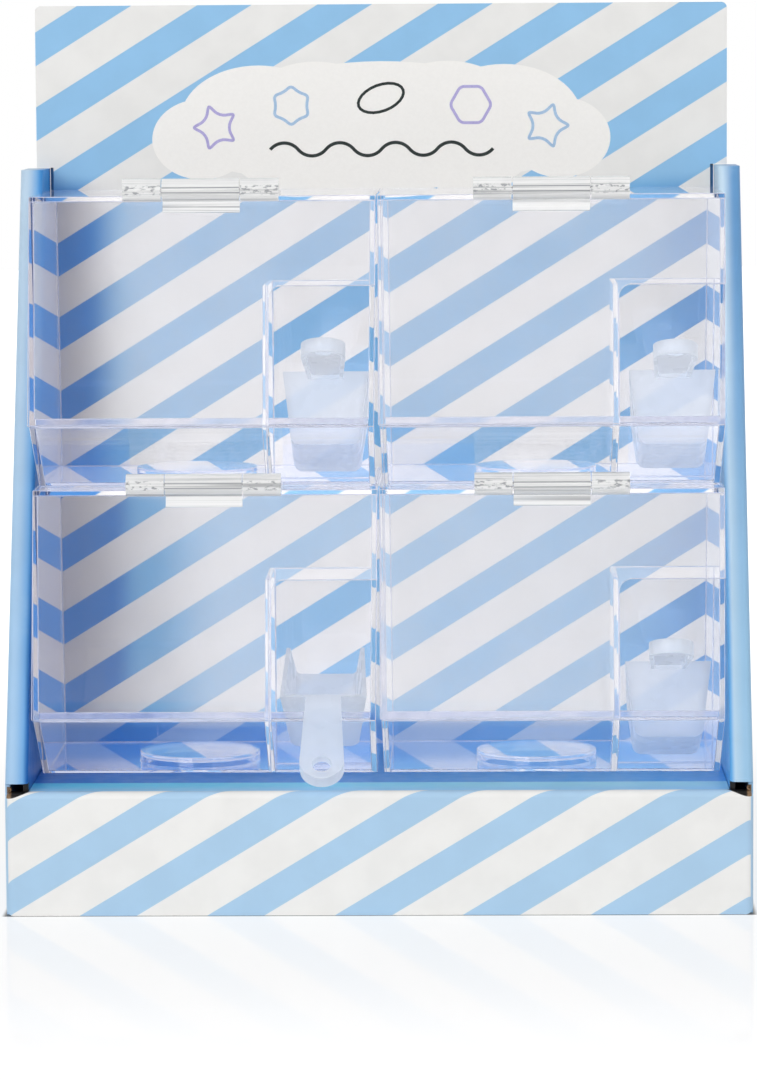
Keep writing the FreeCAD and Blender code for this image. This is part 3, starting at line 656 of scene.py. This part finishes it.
def make_panel():
    """White panel with soft lobes, wider than it is tall."""
    lobes = [(0, 0, 70, 27.5)]
    for side in (-1, 1):
        lobes += [(side * 52, 3.0, 33, 23), (side * 76, -5.0, 21, 17), (side * 28, 9.5, 28, 18),
                  (side * 34, -10.5, 30, 16.5)]
    panel = None
    for index, (x, z, half_width, half_height) in enumerate(lobes):
        shape = bmesh.new()
        flat_disc(shape, (x * MM, PANEL_MIDDLE.z + z * MM), half_width * MM, half_height * MM,
                  PANEL_LAYER, sides=64)
        thicken_to_board(shape, PANEL_THICKNESS)
        mesh = bpy.data.meshes.new(f"lobe_{index}")
        shape.to_mesh(mesh)
        shape.free()
        lobe = bpy.data.objects.new(f"lobe_{index}", mesh)
        scene.collection.objects.link(lobe)
        if panel is None:
            panel = lobe
            continue
        join = panel.modifiers.new("join", "BOOLEAN")
        join.operation = "UNION"
        join.solver = "EXACT"
        join.object = lobe
        bpy.context.view_layer.update()
        merged = bpy.data.meshes.new_from_object(panel.evaluated_get(bpy.context.evaluated_depsgraph_get()))
        panel.modifiers.clear()
        panel.data = merged
        bpy.data.objects.remove(lobe)
    shape = bmesh.new()
    shape.from_mesh(panel.data)
    bpy.data.objects.remove(panel)
    to_object("header_panel", shape, "panel", "case")


def motif(name, finish, middle, radius, sides, inner_share, turn=0.0, stretch=(1.0, 1.0), rounding=0.0):
    """Outlined shape printed on the panel: an even stroke round a star, flower, bean or gem."""
    shape = bmesh.new()
    verts = bmesh.ops.create_circle(shape, cap_ends=True, radius=1.0, segments=sides)["verts"]
    for index, vert in enumerate(verts):
        if index % 2:
            vert.co *= inner_share
    bmesh.ops.scale(shape, verts=verts, vec=(radius * stretch[0], radius * stretch[1], 1.0))
    if rounding:
        bmesh.ops.bevel(shape, geom=list(shape.verts), offset=radius * rounding, affect="VERTICES",
                        segments=4, profile=0.5, material=-1, clamp_overlap=True)
    rim = bmesh.ops.inset_region(shape, faces=list(shape.faces), thickness=MOTIF_STROKE,
                                 use_even_offset=True, use_boundary=True)["faces"]
    inside = [face for face in shape.faces if face not in rim]
    bmesh.ops.delete(shape, geom=inside, context="FACES")
    bmesh.ops.transform(shape, verts=shape.verts, matrix=Matrix.Translation(
        (middle[0] * MM, BOARD_FRONT - INK_LAYER, PANEL_MIDDLE.z + middle[1] * MM))
        @ Matrix.Rotation(pi / 2, 4, "X") @ Matrix.Rotation(turn, 4, "Z"))
    thicken_to_board(shape, INK_THICKNESS)
    to_object(name, shape, finish, "case")


def garland(name, finish, start, radius, count):
    """Wavy printed line: equal arcs, one curving up, the next down."""
    shape = bmesh.new()
    half = GARLAND_STROKE / 2
    ends = [shape.verts.new((start[0] * MM, BOARD_FRONT - INK_LAYER,
                             PANEL_MIDDLE.z + start[1] * MM + way * half)) for way in (-1, 1)]
    edge = shape.edges.new(ends)
    open_angle = radians(100)
    front = [edge] + ends
    place = sum((vert.co for vert in ends), Vector()) / 2
    lean = open_angle / 2
    for vert in ends:
        vert.co = place + Matrix.Rotation(-lean, 3, "Y") @ (vert.co - place)
    for index in range(count):
        way = 1 if index % 2 == 0 else -1
        centre = place + Matrix.Rotation(-way * lean, 3, "Y") @ Vector((0, 0, -way * radius))
        result = bmesh.ops.spin(shape, geom=front, cent=centre, axis=(0, 1, 0), angle=way * open_angle,
                                steps=16, use_duplicate=False)
        front = result["geom_last"]
        place = sum((part.co for part in front if isinstance(part, bmesh.types.BMVert)), Vector()) / 2
    thicken_to_board(shape, INK_THICKNESS)
    to_object(name, shape, finish, "case")


make_panel()
motif("header_star", "lilac_ink", (-70, 0), radius=11.0 * MM, sides=10, inner_share=0.52,
      turn=radians(90), rounding=0.22)
motif("header_flower", "blue_ink", (-38, 9), radius=9.5 * MM, sides=12, inner_share=0.72, rounding=0.30)
motif("header_bean", "dark_ink", (0, 12), radius=8.5 * MM, sides=24, inner_share=1.0,
      turn=radians(20), stretch=(1.25, 0.72))
motif("header_gem", "lilac_ink", (38, 9), radius=9.5 * MM, sides=6, inner_share=1.0,
      turn=radians(30), rounding=0.2)
motif("header_star_right", "blue_ink", (70, 0), radius=11.0 * MM, sides=10, inner_share=0.52,
      turn=radians(54), rounding=0.22)
garland("header_garland", "dark_ink", (-47.0, -9.5), radius=7.7 * MM, count=8)


# Floor and light

FLOOR_GLOW = 0.56
FLOOR_MIRROR = 0.16
MIRROR_REACH = 0.36
STUDIO_DARKNESS = 0.9
HALF_DEPTH = 0.07


def make_floor():
    """White sweep: the object's soft shadow, a painted dark contact line along its foot and painted shade
    around it, and a faint, fading mirror image of its front.
    """
    shape = bmesh.new()
    bmesh.ops.create_grid(shape, x_segments=1, y_segments=1, size=6.0)
    mesh = bpy.data.meshes.new("studio_floor")
    shape.to_mesh(mesh)
    shape.free()
    floor = bpy.data.objects.new("studio_floor", mesh)
    scene.collection.objects.link(floor)
    floor.location.z = -0.05 * MM
    material, tree, place = new_material("white_floor")
    across, depth, _ = parts_of(tree, place)
    aside = calc(tree, "MAXIMUM", calc(tree, "SUBTRACT", calc(tree, "ABSOLUTE", across), CASE_HALF), 0.0)
    ahead = calc(tree, "MAXIMUM", calc(tree, "SUBTRACT", -HALF_DEPTH, depth), 0.0)
    behind = calc(tree, "MAXIMUM", calc(tree, "SUBTRACT", depth, HALF_DEPTH), 0.0)
    square = calc(tree, "MULTIPLY_ADD", aside, aside,
                  calc(tree, "MULTIPLY_ADD", ahead, ahead, calc(tree, "MULTIPLY", behind, behind)))
    away = calc(tree, "SQRT", square)
    # Painted shadow: a dark contact line along the object's foot, and painted shade that keeps the floor's glow
    # lower near the object than far from it.
    painted_contact_shadow = ramp(tree, away, 0.0, 2.2 * MM, 0.12, 1.0)
    far = ramp(tree, away, 0.10, 0.9)
    fade = add(tree, "BsdfDiffuse", {"Color": grey(tree, calc(tree, "MULTIPLY", painted_contact_shadow, 0.34))})
    mirror = ramp(tree, away, 0.0, MIRROR_REACH, FLOOR_MIRROR, 0.0)
    gloss = add(tree, "BsdfGlossy", {"Color": grey(tree, mirror), "Roughness": 0.05})
    glow_share = calc(tree, "MULTIPLY", painted_contact_shadow, calc(tree, "MULTIPLY_ADD", far, 0.4, FLOOR_GLOW))
    topped = calc(tree, "SUBTRACT", calc(tree, "ADD", glow_share, FLOOR_MIRROR), mirror)
    path = add(tree, "LightPath")
    mirrored = calc(tree, "MAXIMUM", path.outputs["Is Glossy Ray"], path.outputs["Is Transmission Ray"])
    dark_studio = calc(tree, "MULTIPLY", mirrored, ramp(tree, ahead, 0.15, 0.8, 0.0, STUDIO_DARKNESS))
    lit = calc(tree, "MULTIPLY", topped, calc(tree, "SUBTRACT", 1.0, dark_studio))
    glow = add(tree, "Emission", {"Color": (1.0, 1.0, 1.0, 1.0), "Strength": lit})
    surface = add(tree, "AddShader", {0: fade.outputs[0], 1: gloss.outputs[0]})
    seen = add(tree, "AddShader", {0: surface.outputs[0], 1: glow.outputs[0]})
    plain = add(tree, "BsdfDiffuse", {"Color": (0.72, 0.72, 0.72, 1.0)})
    mixed = add(tree, "MixShader", {0: seen_directly(tree), 1: plain.outputs[0], 2: seen.outputs[0]})
    finish_material(tree, mixed)
    floor.data.materials.append(material)


def make_world():
    """White all round, dimmer ahead of the object, where a mirror finish would show the dark studio."""
    world = bpy.data.worlds.new("studio_world")
    scene.world = world
    world.use_nodes = True
    tree = world.node_tree
    tree.nodes.clear()
    ahead = add(tree, "SeparateXYZ", {"Vector": add(tree, "TexCoord").outputs["Generated"]}).outputs[1]
    path = add(tree, "LightPath")
    inside = calc(tree, "MAXIMUM", path.outputs["Is Glossy Ray"], path.outputs["Is Transmission Ray"])
    mirrored = calc(tree, "MULTIPLY", inside, ramp(tree, ahead, -0.6, 0.1, 1.0, 0.0))
    strength = calc(tree, "MULTIPLY_ADD", mirrored, -STUDIO_DARKNESS, 1.0)
    ambient = add(tree, "Background", {"Color": (0.98, 0.985, 1.0, 1.0), "Strength": 0.55})
    white = add(tree, "Background", {"Color": (1.0, 1.0, 1.0, 1.0), "Strength": strength})
    mixed = add(tree, "MixShader", {0: seen_directly(tree), 1: ambient.outputs[0], 2: white.outputs[0]})
    add(tree, "OutputWorld", {"Surface": mixed.outputs[0]})


def lamp(name, place, target, width, height, power, mirrored=True, inside=True):
    light = bpy.data.lights.new(name, "AREA")
    light.shape = "RECTANGLE"
    light.size = width
    light.size_y = height
    light.energy = power
    holder = bpy.data.objects.new(name, light)
    scene.collection.objects.link(holder)
    holder.location = place
    holder.rotation_euler = (Vector(target) - Vector(place)).to_track_quat("-Z", "Y").to_euler()
    holder.visible_glossy = mirrored
    holder.visible_transmission = inside


make_floor()
make_world()
lamp("soft_front_left", (-1.0, -1.9, 1.0), (0, 0, 0.18), width=1.2, height=1.2, power=16)
lamp("soft_front_right", (1.3, -1.7, 0.9), (0, 0, 0.18), width=1.0, height=1.0, power=6)
lamp("soft_front_high", (0.1, -2.1, 1.15), (0, 0, 0.2), width=0.8, height=0.5, power=4,
     mirrored=False, inside=False)
